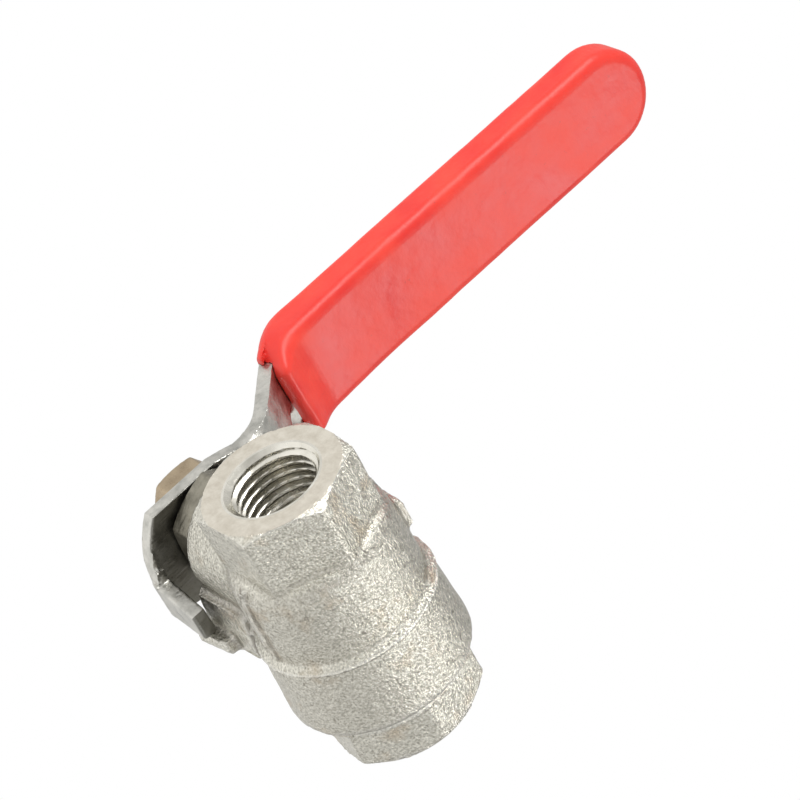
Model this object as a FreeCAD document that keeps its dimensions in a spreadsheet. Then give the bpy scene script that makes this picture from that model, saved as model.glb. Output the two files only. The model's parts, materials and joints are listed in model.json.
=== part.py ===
import FreeCAD, Part
import math
import os

import Sketcher

# Quarter-inch lever ball valve: forged body, screwed end retainer, floating ball and steel strap lever.
# Every sub-part is drawn about the ball's centre (X along the pipe, Y along the closed lever, Z up the
# stem) and then placed so that the document's origin is the centre of the body port's face.

os.makedirs("parts", exist_ok=True)
doc = FreeCAD.newDocument("ball_valve")

SIZES = {
    # pipe ends: G 1/4 parallel thread and wrench hexes
    "port_to_stem": 18.4, "stem_to_end": 25.2, "hex_flats": 20.0, "hex_back": 9.4,
    "face_radius": 10.0, "end_flats": 20.8, "end_face_radius": 10.3, "end_hex_turn": 7.8,
    "thread_minor": 5.72, "groove_depth": 0.46, "groove_half": 0.24, "thread_pitch": 1.337,
    "mouth_radius": 6.58, "mouth_depth": 0.45, "port_depth": 10.0, "bore_radius": 4.6,
    # forged outside of the body
    "neck_radius": 11.6, "neck_end_radius": 12.3, "shoulder_front": 3.6, "shoulder_back": 5.2,
    "barrel_front_radius": 13.25, "barrel_radius": 13.75, "barrel_end": 16.8, "edge_round": 0.8,
    "boss_radius": 9.7, "boss_top": 20.5, "boss_round": 0.5,
    "lug_front": 7.2, "lug_back": 9.6, "lug_root": 2.0, "lug_reach": 14.0, "lug_corner": 0.7,
    "lug_bottom": 15.0, "web_out": 11.3, "web_side": 2.5, "web_side_out": 10.6, "web_bottom": 9.0,
    "web_top": 20.0, "pad_middle": 2.0, "pad_length": 5.0, "pad_width": 8.0, "pad_corner": 1.0,
    "pad_face": 12.95,
    # inside of the body
    "cavity_radius": 8.9, "seat_radius": 8.0, "seat_gap": 0.03, "seat_back": 7.8, "seat_front": 4.7,
    "joint_radius": 10.45, "joint_gap": 0.05, "joint_stop": 8.4, "gasket_thick": 0.7, "nose_end": 5.0,
    "flange_radius": 12.7, "flange_thick": 0.9,
    # ball and stem
    "ball_radius": 8.0, "ball_gap": 0.06, "ball_bore": 4.5, "slot_width": 3.2, "slot_floor": 5.4,
    "tang_width": 3.0, "tang_length": 6.4, "tang_bottom": 5.5, "collar_radius": 4.4, "collar_bottom": 8.7,
    "collar_top": 10.2, "collar_room": 4.6, "washer_thick": 0.8, "stem_radius": 3.0, "turn_gap": 0.06,
    "chamber_radius": 5.0, "chamber_bottom": 12.6, "ring_thick": 1.5, "follower_thick": 1.1,
    "gland_flats": 15.0, "gland_top": 25.8, "gland_turn": 3.5, "gland_chamfer": 0.6,
    "drive_flats": 2.2, "stem_top": 35.3, "tip_chamfer": 0.5,
    # lever
    "plate_bottom": 26.3, "plate_thick": 2.3, "hub_half": 7.5, "hub_corner": 8.3, "hub_front": 3.0,
    "strap_half": 6.3, "strap_front": 7.5, "tab_root": 13.3, "tab_lean": 0.8, "tab_tip": 16.9,
    "tab_near": 1.2, "tab_near_tip": 2.6, "tab_far": 7.3, "tab_far_tip": 6.9, "bend_round": 1.4,
    "rise_start": 12.4, "rise_end": 23.8, "grip_height": 40.0, "grip_end": 94.3, "rise_round": 7.0,
    "grip_round": 9.0,
    "ear_near": 9.75, "ear_far": 13.5, "ear_out": 14.0, "hole_middle": 19.8, "hole_side": 2.3,
    "hole_radius": 1.8,
    # sleeve, washer and nut
    "sleeve_wall": 1.6, "sleeve_shift": 0.25, "sleeve_face_wall": 2.25, "sleeve_end_wall": 1.3,
    "sleeve_mouth": 20.4,
    "lock_radius": 5.3, "lock_thick": 1.0, "lock_slit": 0.8, "nut_flats": 11.0, "nut_height": 5.0,
    "nut_face_radius": 5.3,
}

sheet = doc.addObject("Spreadsheet::Sheet", "Sizes")
for row, (alias, size) in enumerate(SIZES.items(), start=1):
    sheet.set(f"A{row}", alias)
    sheet.set(f"B{row}", str(size))
    sheet.setAlias(f"B{row}", alias)
doc.recompute()


def bound(text):
    """The expression with each size's name turned into a reference to its cell."""
    words = []
    word = ""
    for letter in str(text) + " ":
        if letter.isalnum() or letter == "_":
            word += letter
            continue
        words.append(f"Sizes.{word}" if word in SIZES else word)
        words.append(letter)
        word = ""
    return "".join(words).strip()


def number(text):
    """The present value of an expression made of sizes."""
    return float(sheet.evalExpression(bound(text)))


def bind(item, prop, text):
    item.setExpression(prop, bound(text))


def place_on_stem(item):
    """Moves a finished sub-part from the ball's centre to the document's origin at the port face."""
    bind(item, "Placement.Base.x", "-port_to_stem")


# ---- PartDesign helpers -------------------------------------------------------------------------

def new_body(name):
    body = doc.addObject("PartDesign::Body", name)
    body.Label = name
    return body


def new_sketch(body, name, plane, offset="0"):
    """A sketch on one of the body's own origin planes, lifted along that plane's normal."""
    sketch = body.newObject("Sketcher::SketchObject", name)
    support = [f for f in body.Origin.OriginFeatures if f.Role == plane][0]
    sketch.AttachmentSupport = (support, [""])
    sketch.MapMode = "FlatFace"
    bind(sketch, "AttachmentOffset.Base.z", offset)
    return sketch


def draw_polygon(sketch, corners):
    """A closed outline whose every corner has its two coordinates bound to expressions."""
    points = [FreeCAD.Vector(number(x), number(y), 0) for x, y in corners]
    first = sketch.GeometryCount
    count = len(points)
    for i in range(count):
        sketch.addGeometry(Part.LineSegment(points[i], points[(i + 1) % count]), False)
    for i in range(count):
        sketch.addConstraint(Sketcher.Constraint("Coincident", first + i, 2, first + (i + 1) % count, 1))
    for i, corner in enumerate(corners):
        for kind, text, value in zip(("DistanceX", "DistanceY"), corner, points[i]):
            index = sketch.addConstraint(Sketcher.Constraint(kind, first + i, 1, value))
            bind(sketch, f"Constraints[{index}]", text)


def draw_circle(sketch, radius, x="0", y="0"):
    centre = FreeCAD.Vector(number(x), number(y), 0)
    circle = sketch.addGeometry(Part.Circle(centre, FreeCAD.Vector(0, 0, 1), number(radius)), False)
    for kind, text in (("DistanceX", x), ("DistanceY", y)):
        index = sketch.addConstraint(Sketcher.Constraint(kind, circle, 3, number(text)))
        bind(sketch, f"Constraints[{index}]", text)
    index = sketch.addConstraint(Sketcher.Constraint("Radius", circle, number(radius)))
    bind(sketch, f"Constraints[{index}]", radius)


def hexagon(flats, turn):
    """Corner expressions of a hexagon with its first corner turned from the sketch's X axis."""
    reach = f"({flats}) / sqrt(3)"
    return [(f"{reach} * cos({turn} + {60 * k})", f"{reach} * sin({turn} + {60 * k})") for k in range(6)]


def feature(body, kind, sketch, name, **settings):
    item = body.newObject(f"PartDesign::{kind}", name)
    item.Profile = sketch
    for prop, setting in settings.items():
        setattr(item, prop, setting)
    return item


def pad(body, sketch, name, length, reverse=False, both=False):
    item = feature(body, "Pad", sketch, name, Reversed=reverse, Midplane=both)
    bind(item, "Length", length)
    return item


def pocket(body, sketch, name, length, reverse=False):
    item = feature(body, "Pocket", sketch, name, Reversed=reverse)
    bind(item, "Length", length)
    return item


def revolve(body, sketch, name, axis="H_Axis", cut=False):
    kind = "Groove" if cut else "Revolution"
    return feature(body, kind, sketch, name, ReferenceAxis=(sketch, [axis]), Angle=360.0)


def soften(body, name, radius, chosen):
    """Rounds the edges of the body's tip for which chosen(edge) is true."""
    doc.recompute()
    tip = body.Tip
    edges = [f"Edge{i}" for i, edge in enumerate(tip.Shape.Edges, start=1) if chosen(edge)]
    item = body.newObject("PartDesign::Fillet", name)
    item.Base = (tip, edges)
    bind(item, "Radius", radius)
    return item


def is_circle(edge, radius, axis):
    curve = edge.Curve
    return (isinstance(curve, Part.Circle) and abs(curve.Radius - number(radius)) < 0.01
            and abs(abs(curve.Axis.dot(axis)) - 1) < 1e-6)


# how far a wrench hex's corner chamfer widens per millimetre along its axis
WRENCH_SLOPE = "tan(60)"
END_SLOPE = "tan(52)"

# how far a port's countersink widens per millimetre of its depth
MOUTH_SLOPE = "(mouth_radius - thread_minor) / mouth_depth"


def port_thread(body, mouth, inward):
    """Annular V grooves at the thread's pitch, cut into the bore from its mouth towards the ball.

    The lands between them keep the thread's minor radius.
    """
    sketch = new_sketch(body, f"{body.Name}_groove_outline", "XZ_Plane")
    root = f"({mouth}) + ({inward}) * (mouth_depth + thread_pitch / 2)"
    draw_polygon(sketch, [
        (f"{root} - groove_half", "thread_minor - 0.01"),
        (f"{root} + groove_half", "thread_minor - 0.01"),
        (root, "thread_minor + groove_depth"),
    ])
    first = revolve(body, sketch, f"{body.Name}_groove", cut=True)
    doc.recompute()
    row = body.newObject("PartDesign::LinearPattern", f"{body.Name}_grooves")
    row.Originals = [first]
    row.Direction = (sketch, ["H_Axis"])
    row.Reversed = inward < 0
    room = number("port_depth - mouth_depth")
    row.Occurrences = int(room / number("thread_pitch"))
    bind(row, "Length", f"thread_pitch * {row.Occurrences - 1}")
    body.Tip = row


# ---- Part helpers -------------------------------------------------------------------------------

AXES = {
    "X": FreeCAD.Rotation(FreeCAD.Vector(0, 1, 0), 90),
    "Y": FreeCAD.Rotation(FreeCAD.Vector(1, 0, 0), -90),
    "Z": FreeCAD.Rotation(),
}


def cylinder(name, radius, low, high, axis="Z"):
    """A cylinder between two stations along one axis through the ball's centre."""
    item = doc.addObject("Part::Cylinder", name)
    bind(item, "Radius", radius)
    bind(item, "Height", f"({high}) - ({low})")
    item.Placement = FreeCAD.Placement(FreeCAD.Vector(), AXES[axis])
    bind(item, f"Placement.Base.{axis.lower()}", low)
    return item


def block(name, x, y, z):
    """A box given by its low and high station on each axis."""
    item = doc.addObject("Part::Box", name)
    for prop, letter, (low, high) in zip(("Length", "Width", "Height"), "xyz", (x, y, z)):
        bind(item, prop, f"({high}) - ({low})")
        bind(item, f"Placement.Base.{letter}", low)
    return item


def sphere(name, radius):
    item = doc.addObject("Part::Sphere", name)
    bind(item, "Radius", radius)
    return item


def cut(name, base, tool):
    item = doc.addObject("Part::Cut", name)
    item.Base, item.Tool = base, tool
    item.Label = name
    return item


def ring(name, outer, inner, low, high, axis="Z"):
    return cut(name, cylinder(f"{name}_disc", outer, low, high, axis),
               cylinder(f"{name}_hole", inner, f"({low}) - 1", f"({high}) + 1", axis))


# ---- sub-parts ----------------------------------------------------------------------------------

def make_valve_body():
    body = new_body("valve_body")
    outside = new_sketch(body, "body_outline", "XZ_Plane")
    draw_polygon(outside, [
        ("hex_back + 1", "0"), ("hex_back + 1", "neck_radius"), ("-shoulder_front", "neck_end_radius"),
        ("-shoulder_back", "barrel_front_radius"), ("-barrel_end + edge_round", "barrel_radius"),
        ("-barrel_end", "barrel_radius - edge_round"), ("-barrel_end", "0"),
    ])
    revolve(body, outside, "body_barrel")
    hexes = new_sketch(body, "hex_outline", "YZ_Plane", "hex_back")
    draw_polygon(hexes, hexagon("hex_flats", 90))
    pad(body, hexes, "wrench_hex", "port_to_stem - hex_back")
    boss = new_sketch(body, "boss_outline", "XY_Plane")
    draw_circle(boss, "boss_radius")
    pad(body, boss, "stem_boss", "boss_top")
    soften(body, "boss_edge", "boss_round",
           lambda edge: is_circle(edge, "boss_radius", FreeCAD.Vector(0, 0, 1)) and edge.Length > 30)
    lug = new_sketch(body, "lug_outline", "XY_Plane", "lug_bottom")
    draw_polygon(lug, [
        ("-lug_front", "-lug_root"), ("-lug_back", "-lug_root"), ("-lug_back", "-lug_reach + lug_corner"),
        ("-lug_back + lug_corner", "-lug_reach"), ("-lug_front - lug_corner", "-lug_reach"),
        ("-lug_front", "-lug_reach + lug_corner"),
    ])
    pad(body, lug, "stop_lug", "boss_top - lug_bottom")
    web = new_sketch(body, "web_outline", "XY_Plane", "web_bottom")
    draw_polygon(web, [
        ("-web_side", "-lug_root"), ("-lug_back", "-lug_root"), ("-lug_back", "-web_out"),
        ("-lug_front - 0.1", "-web_out"), ("-web_side", "-web_side_out"),
    ])
    pad(body, web, "lug_web", "web_top - web_bottom")
    mark = new_sketch(body, "pad_outline", "XZ_Plane")
    reach, half = "pad_length / 2", "pad_width / 2"
    draw_polygon(mark, [
        (f"pad_middle + {reach}", f"{half} - pad_corner"), (f"pad_middle + {reach} - pad_corner", half),
        (f"pad_middle - {reach} + pad_corner", half), (f"pad_middle - {reach}", f"{half} - pad_corner"),
        (f"pad_middle - {reach}", f"pad_corner - {half}"),
        (f"pad_middle - {reach} + pad_corner", f"-{half}"),
        (f"pad_middle + {reach} - pad_corner", f"-{half}"),
        (f"pad_middle + {reach}", f"pad_corner - {half}"),
    ])
    pad(body, mark, "side_pad", "pad_face", reverse=True)
    corner = new_sketch(body, "face_chamfer_outline", "XZ_Plane")
    draw_polygon(corner, [
        ("port_to_stem + 1", f"face_radius - {WRENCH_SLOPE}"), ("port_to_stem + 1", "face_radius + 4"),
        ("port_to_stem - 2", "face_radius + 4"), ("port_to_stem - 2", f"face_radius + 2 * {WRENCH_SLOPE}"),
    ])
    revolve(body, corner, "face_chamfer", cut=True)
    inside = new_sketch(body, "cavity_outline", "XZ_Plane")
    draw_polygon(inside, [
        ("port_to_stem + 1", "0"), ("port_to_stem + 1", f"mouth_radius + {MOUTH_SLOPE}"),
        ("port_to_stem - mouth_depth", "thread_minor"),
        ("port_to_stem - port_depth", "thread_minor"), ("port_to_stem - port_depth", "bore_radius"),
        ("seat_back", "bore_radius"), ("seat_back", "seat_radius + seat_gap"),
        ("seat_front", "seat_radius + seat_gap"), ("seat_front", "cavity_radius"),
        ("-joint_stop", "cavity_radius"), ("-joint_stop", "joint_radius + joint_gap"),
        ("-barrel_end - 1", "joint_radius + joint_gap"), ("-barrel_end - 1", "0"),
    ])
    revolve(body, inside, "cavity", cut=True)
    housing = new_sketch(body, "housing_outline", "XZ_Plane")
    draw_polygon(housing, [
        ("0", "collar_bottom - 4"), ("collar_room", "collar_bottom - 4"),
        ("collar_room", "collar_top + washer_thick"),
        ("stem_radius + turn_gap", "collar_top + washer_thick"),
        ("stem_radius + turn_gap", "chamber_bottom"), ("chamber_radius", "chamber_bottom"),
        ("chamber_radius", "boss_top - 0.5"), ("chamber_radius + 0.5", "boss_top"),
        ("chamber_radius + 0.5", "boss_top + 1"), ("0", "boss_top + 1"),
    ])
    revolve(body, housing, "stem_housing", axis="V_Axis", cut=True)
    port_thread(body, "port_to_stem", -1)
    return body


def make_end_retainer():
    body = new_body("end_retainer")
    outside = new_sketch(body, "retainer_outline", "XZ_Plane")
    draw_polygon(outside, [
        ("-nose_end", "0"), ("-nose_end", "cavity_radius - joint_gap"),
        ("-joint_stop - gasket_thick", "cavity_radius - joint_gap"),
        ("-joint_stop - gasket_thick", "joint_radius"), ("-barrel_end", "joint_radius"),
        ("-barrel_end", "flange_radius - 0.3"), ("-barrel_end - 0.3", "flange_radius"),
        ("-barrel_end - flange_thick", "flange_radius"),
        ("-barrel_end - flange_thick - 1.2", "end_flats / 2"),
        ("-barrel_end - flange_thick - 1.2", "0"),
    ])
    revolve(body, outside, "retainer_turned")
    hexes = new_sketch(body, "end_hex_outline", "YZ_Plane", "-barrel_end - flange_thick")
    draw_polygon(hexes, hexagon("end_flats", "90 - end_hex_turn"))
    pad(body, hexes, "end_hex", "stem_to_end - barrel_end - flange_thick", reverse=True)
    corner = new_sketch(body, "end_chamfer_outline", "XZ_Plane")
    draw_polygon(corner, [
        ("-stem_to_end - 1", f"end_face_radius - {END_SLOPE}"), ("-stem_to_end - 1", "end_face_radius + 4"),
        ("-stem_to_end + 2", "end_face_radius + 4"),
        ("-stem_to_end + 2", f"end_face_radius + 2 * {END_SLOPE}"),
    ])
    revolve(body, corner, "end_chamfer", cut=True)
    inside = new_sketch(body, "retainer_bore_outline", "XZ_Plane")
    draw_polygon(inside, [
        ("-stem_to_end - 1", "0"), ("-stem_to_end - 1", f"mouth_radius + {MOUTH_SLOPE}"),
        ("-stem_to_end + mouth_depth", "thread_minor"),
        ("-stem_to_end + port_depth", "thread_minor"), ("-stem_to_end + port_depth", "bore_radius"),
        ("-seat_back", "bore_radius"), ("-seat_back", "seat_radius + seat_gap"),
        ("-nose_end + 1", "seat_radius + seat_gap"), ("-nose_end + 1", "0"),
    ])
    revolve(body, inside, "retainer_bore", cut=True)
    port_thread(body, "-stem_to_end", 1)
    return body


def make_seat(name, side):
    """A fluoropolymer ring dished to the ball on its inner face."""
    stations = ("seat_front", "seat_back") if side > 0 else ("-seat_back", "-seat_front")
    blank = ring(f"{name}_blank", "seat_radius", "bore_radius", *stations, axis="X")
    return cut(name, blank, sphere(f"{name}_dish", "ball_radius + ball_gap"))


def make_ball():
    bored = cut("ball_bored", sphere("ball_blank", "ball_radius"),
                cylinder("ball_passage", "ball_bore", "-ball_radius - 1", "ball_radius + 1", axis="Y"))
    slot = block("ball_slot", ("-ball_radius - 1", "ball_radius + 1"),
                 ("-slot_width / 2", "slot_width / 2"), ("slot_floor", "ball_radius + 1"))
    return cut("ball", bored, slot)


def make_stem():
    body = new_body("stem")
    outside = new_sketch(body, "stem_outline", "XZ_Plane")
    draw_polygon(outside, [
        ("0", "collar_bottom"), ("collar_radius", "collar_bottom"), ("collar_radius", "collar_top"),
        ("stem_radius", "collar_top"), ("stem_radius", "stem_top - tip_chamfer"),
        ("stem_radius - tip_chamfer", "stem_top"), ("0", "stem_top"),
    ])
    revolve(body, outside, "stem_turned", axis="V_Axis")
    tang = new_sketch(body, "tang_outline", "XY_Plane", "tang_bottom")
    draw_polygon(tang, [(f"{a} * tang_length / 2", f"{b} * tang_width / 2")
                        for a, b in ((1, 1), (-1, 1), (-1, -1), (1, -1))])
    pad(body, tang, "tang", "collar_bottom - tang_bottom + 0.5")
    for name, side in (("front", 1), ("rear", -1)):
        flat = new_sketch(body, f"drive_flat_outline_{name}", "XY_Plane", "plate_bottom")
        draw_polygon(flat, [(f"{side} * drive_flats", "-4"), (f"{side} * 5", "-4"),
                            (f"{side} * 5", "4"), (f"{side} * drive_flats", "4")])
        pocket(body, flat, f"drive_flat_{name}", "plate_thick + 0.01", reverse=True)
    return body


def make_gland_nut():
    body = new_body("gland_nut")
    outside = new_sketch(body, "gland_turned_outline", "XZ_Plane")
    follower_top = "chamber_bottom + 2 * ring_thick + follower_thick"
    draw_polygon(outside, [
        ("0", follower_top), ("chamber_radius - joint_gap", follower_top),
        ("chamber_radius - joint_gap", "boss_top + 0.1"), ("0", "boss_top + 0.1"),
    ])
    revolve(body, outside, "gland_turned", axis="V_Axis")
    hexes = new_sketch(body, "gland_hex_outline", "XY_Plane", "boss_top")
    draw_polygon(hexes, hexagon("gland_flats", "gland_turn"))
    pad(body, hexes, "gland_hex", "gland_top - boss_top")
    corner = new_sketch(body, "gland_chamfer_outline", "XZ_Plane")
    draw_polygon(corner, [
        ("gland_flats / 2 - 1", "gland_top + gland_chamfer"),
        ("gland_flats / 2 + 4", "gland_top + gland_chamfer"),
        ("gland_flats / 2 + 4", "gland_top - 4 * gland_chamfer"),
    ])
    revolve(body, corner, "gland_chamfered", axis="V_Axis", cut=True)
    inside = new_sketch(body, "gland_bore_outline", "XY_Plane", "chamber_bottom")
    draw_circle(inside, "stem_radius + turn_gap")
    pocket(body, inside, "gland_bore", "gland_top - chamber_bottom + 1", reverse=True)
    return body


# the strap's rise from the hub to the grip, and how far a parallel line's corners move back per millimetre
RISE = "(grip_height - plate_thick / 2 - plate_bottom) / (rise_end - rise_start)"
MITRE = f"tan(atan({RISE}) / 2)"


def strap_side(above):
    """Corner expressions of a line parallel to the strap's underside, seen along X, hub end first."""
    return [
        (f"rise_start - ({above}) * {MITRE}", f"plate_bottom + {above}"),
        (f"rise_end - ({above}) * {MITRE}", f"grip_height - plate_thick / 2 + {above}"),
    ]


def round_end(half, tip, middle="0", steps=12):
    """Corner expressions of a half-round strap end, seen along Z, from its +X side to its -X side."""
    turns = [180 * k / steps for k in range(steps + 1)]
    return [(f"{middle} + ({half}) * cos({a})", f"{tip} - ({half}) * (1 - sin({a}))") for a in turns]


def make_lever():
    body = new_body("lever")
    side = new_sketch(body, "strap_profile", "YZ_Plane")
    low, high = strap_side("0"), strap_side("plate_thick")
    draw_polygon(side, [
        *low, ("grip_end", low[1][1]), ("grip_end", high[1][1]), *reversed(high),
        ("-tab_root", "plate_bottom + plate_thick"), ("-tab_root - tab_lean", "tab_tip"),
        ("-tab_root - tab_lean + plate_thick", "tab_tip"), ("-tab_root + plate_thick", "plate_bottom"),
    ])
    pad(body, side, "strap", "2 * hub_half", both=True)

    def is_bend(edge, y, z):
        middle = edge.CenterOfMass
        return (abs(middle.y - number(y)) < 0.05 and abs(middle.z - number(z)) < 0.05
                and abs(edge.tangentAt(edge.FirstParameter).x) > 0.99)

    soften(body, "tab_bend", "bend_round",
           lambda edge: is_bend(edge, "-tab_root", "plate_bottom + plate_thick"))
    bends = ("rise", high[0], low[0], "rise_round"), ("grip", low[1], high[1], "grip_round")
    for name, inner, outer, radius in bends:
        soften(body, f"{name}_bend_inside", radius, lambda edge, at=inner: is_bend(edge, *at))
        soften(body, f"{name}_bend_outside", f"{radius} + plate_thick",
               lambda edge, at=outer: is_bend(edge, *at))
    trim = new_sketch(body, "lever_plan", "XY_Plane", "tab_tip - 2")
    far = "grip_end + 5"
    draw_polygon(trim, [(x, y) for x, y in (("-20", "-20"), ("20", "-20"), ("20", far), ("-20", far))])
    draw_polygon(trim, [
        ("hub_half", "-hub_corner"), ("hub_half", "hub_front"), ("strap_half", "strap_front"),
        *round_end("strap_half", "grip_end"),
        ("-strap_half", "strap_front"), ("-hub_half", "hub_front"), ("-hub_half", "-hub_corner"),
        ("-tab_far", "-tab_root + bend_round"), ("-tab_far", "-tab_root - tab_lean - 1"),
        ("-tab_near", "-tab_root - tab_lean - 1"), ("-tab_near", "-tab_root + 0.4"),
    ])
    pocket(body, trim, "lever_trim", "grip_height + 10", reverse=True)
    tab = new_sketch(body, "tab_outline", "XZ_Plane", "tab_root - plate_thick - 1.5")
    draw_polygon(tab, [
        ("-tab_far", "plate_bottom"), ("-tab_far_tip", "tab_tip - 1"), ("-20", "tab_tip - 1"),
        ("-20", "plate_bottom"),
    ])
    draw_polygon(tab, [
        ("-tab_near", "plate_bottom"), ("-tab_near_tip", "tab_tip - 1"), ("20", "tab_tip - 1"),
        ("20", "plate_bottom"),
    ])
    pocket(body, tab, "tab_trim", "8", reverse=True)
    wing = new_sketch(body, "ear_plan", "XY_Plane", "plate_bottom")
    draw_polygon(wing, [
        ("-hub_half + 1", "-1"), ("-hub_half", "-1"), ("-ear_out", "ear_near - 2"), ("-ear_out", "ear_far"),
        ("-ear_out + plate_thick + 1", "ear_far"), ("-strap_half - 0.6", "strap_front + 0.6"),
        ("-strap_half + 1", "strap_front"),
    ])
    pad(body, wing, "ear_wing", "plate_thick")
    ear = new_sketch(body, "ear_outline", "XY_Plane", "tab_tip")
    draw_polygon(ear, [
        ("-ear_out", "ear_near"), ("-ear_out", "ear_far"), ("-ear_out + plate_thick", "ear_far"),
        ("-ear_out + plate_thick", "ear_near"),
    ])
    pad(body, ear, "ear", "plate_bottom + 0.5 - tab_tip")
    soften(body, "ear_bend", "plate_thick * 0.8",
           lambda edge: abs(edge.CenterOfMass.x + number("ear_out")) < 0.05 and edge.Length > 3
           and abs(edge.CenterOfMass.z - number("plate_bottom + plate_thick")) < 0.05
           and abs(edge.tangentAt(edge.FirstParameter).y) > 0.99)
    drive = new_sketch(body, "drive_hole_outline", "XY_Plane", "plate_bottom - 1")
    flats, radius = number("drive_flats + turn_gap / 2"), number("stem_radius + turn_gap / 2")
    spread = math.degrees(math.acos(flats / radius))
    corners = [spread + (180 - 2 * spread) * k / 8 for k in range(9)]
    rim = [f"{side + angle}" for side in (0, 180) for angle in corners]
    draw_polygon(drive, [(f"(stem_radius + turn_gap) * cos({a})", f"(stem_radius + turn_gap) * sin({a})")
                         for a in rim])
    pocket(body, drive, "drive_hole", "plate_thick + 2", reverse=True)
    hang = new_sketch(body, "relief_hole_outline", "XY_Plane", "plate_bottom - 1")
    draw_circle(hang, "hole_radius", "-hole_side", "hole_middle")
    pocket(body, hang, "relief_hole", "grip_height", reverse=True)
    return body


def make_lever_sleeve(lever):
    """The dipped sleeve: a slightly larger rounded strap with the lever's own shape taken out of it."""
    blank = new_body("sleeve_blank")
    side = new_sketch(blank, "sleeve_profile", "YZ_Plane")
    under, over = strap_side("-sleeve_face_wall")[1], strap_side("(plate_thick + sleeve_face_wall)")[1]
    tip = "grip_end + sleeve_end_wall"
    draw_polygon(side, [
        under, (tip, under[1]), (tip, over[1]), over,
        *[("sleeve_mouth", f"{z} - ({y} - sleeve_mouth) * {RISE}") for y, z in (over, under)],
    ])
    half = "strap_half + sleeve_wall"
    pad(blank, side, "sleeve_strap", f"2 * ({half}) + 2 * sleeve_shift", both=True)
    plan = new_sketch(blank, "sleeve_plan", "XY_Plane", "plate_bottom")
    draw_polygon(plan, [("-20", "-20"), ("20", "-20"), ("20", "grip_end + 9"), ("-20", "grip_end + 9")])
    draw_polygon(plan, [
        (f"sleeve_shift + {half}", "-5"), *round_end(half, tip, "sleeve_shift"),
        (f"sleeve_shift - ({half})", "-5"),
    ])
    pocket(blank, plan, "sleeve_trim", "grip_height", reverse=True)
    place_on_stem(blank)
    return cut("lever_sleeve", blank, lever)


def make_lock_washer():
    blank = ring("lock_washer_blank", "lock_radius", "stem_radius + 0.15",
                 "plate_bottom + plate_thick", "plate_bottom + plate_thick + lock_thick")
    slit = block("lock_washer_slit", ("0", "lock_radius + 1"), ("-lock_slit / 2", "lock_slit / 2"),
                 ("plate_bottom", "plate_bottom + plate_thick + lock_thick + 1"))
    return cut("lock_washer", blank, slit)


def make_lever_nut():
    body = new_body("lever_nut")
    bottom = "plate_bottom + plate_thick + lock_thick"
    hexes = new_sketch(body, "nut_hex_outline", "XY_Plane", bottom)
    draw_polygon(hexes, hexagon("nut_flats", 30))
    pad(body, hexes, "nut_hex", "nut_height")
    for name, level, up in (("low", bottom, -1), ("high", f"{bottom} + nut_height", 1)):
        corner = new_sketch(body, f"nut_chamfer_outline_{name}", "XZ_Plane")
        draw_polygon(corner, [
            (f"nut_face_radius - {WRENCH_SLOPE} / 2", f"{level} + {up} / 2"),
            ("nut_face_radius + 3", f"{level} + {up} / 2"),
            ("nut_face_radius + 3", f"{level} - {up} * 3 / {WRENCH_SLOPE}"),
        ])
        revolve(body, corner, f"nut_chamfer_{name}", axis="V_Axis", cut=True)
    inside = new_sketch(body, "nut_bore_outline", "XY_Plane", bottom)
    draw_circle(inside, "stem_radius")
    pocket(body, inside, "nut_bore", "nut_height + 1", reverse=True)
    return body


def make_sub_parts():
    packing = "chamber_radius", "stem_radius + turn_gap"
    lever = make_lever()
    parts = [
        make_valve_body(),
        make_end_retainer(),
        make_ball(),
        make_seat("front_seat", 1),
        make_seat("rear_seat", -1),
        ring("body_gasket", "joint_radius", "cavity_radius", "-joint_stop - gasket_thick", "-joint_stop",
             axis="X"),
        make_stem(),
        ring("thrust_washer", "collar_room - joint_gap", packing[1], "collar_top + 0.02",
             "collar_top + washer_thick"),
        make_gland_nut(),
        lever,
        make_lever_sleeve(lever),
        make_lock_washer(),
        make_lever_nut(),
    ]
    for turn, name in enumerate(("packing_lower", "packing_upper")):
        parts.append(ring(name, *packing, f"chamber_bottom + {turn} * ring_thick",
                          f"chamber_bottom + {turn + 1} * ring_thick"))
    parts.append(ring("gland_follower", "chamber_radius - joint_gap", packing[1],
                      "chamber_bottom + 2 * ring_thick", "chamber_bottom + 2 * ring_thick + follower_thick"))
    return parts


sub_parts = make_sub_parts()
doc.recompute()
for part in sub_parts:
    if part.Label != "lever_sleeve":
        place_on_stem(part)
doc.recompute()

for item in doc.Objects:
    if "Invalid" in item.State or "Error" in item.State:
        raise RuntimeError(f"{item.Name} failed: {item.State}")
for part in sub_parts:
    if part.Shape.isNull() or not part.Shape.isValid():
        raise RuntimeError(f"{part.Label} has no valid shape")
for part in sub_parts:
    part.Shape.exportStep(f"parts/{part.Label}.step")
    print(f"{part.Label}: {part.Shape.Volume:.1f} mm3, {len(part.Shape.Solids)} solid")
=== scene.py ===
import json
import math

import bpy
import numpy as np
from mathutils import Matrix, Vector


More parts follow.
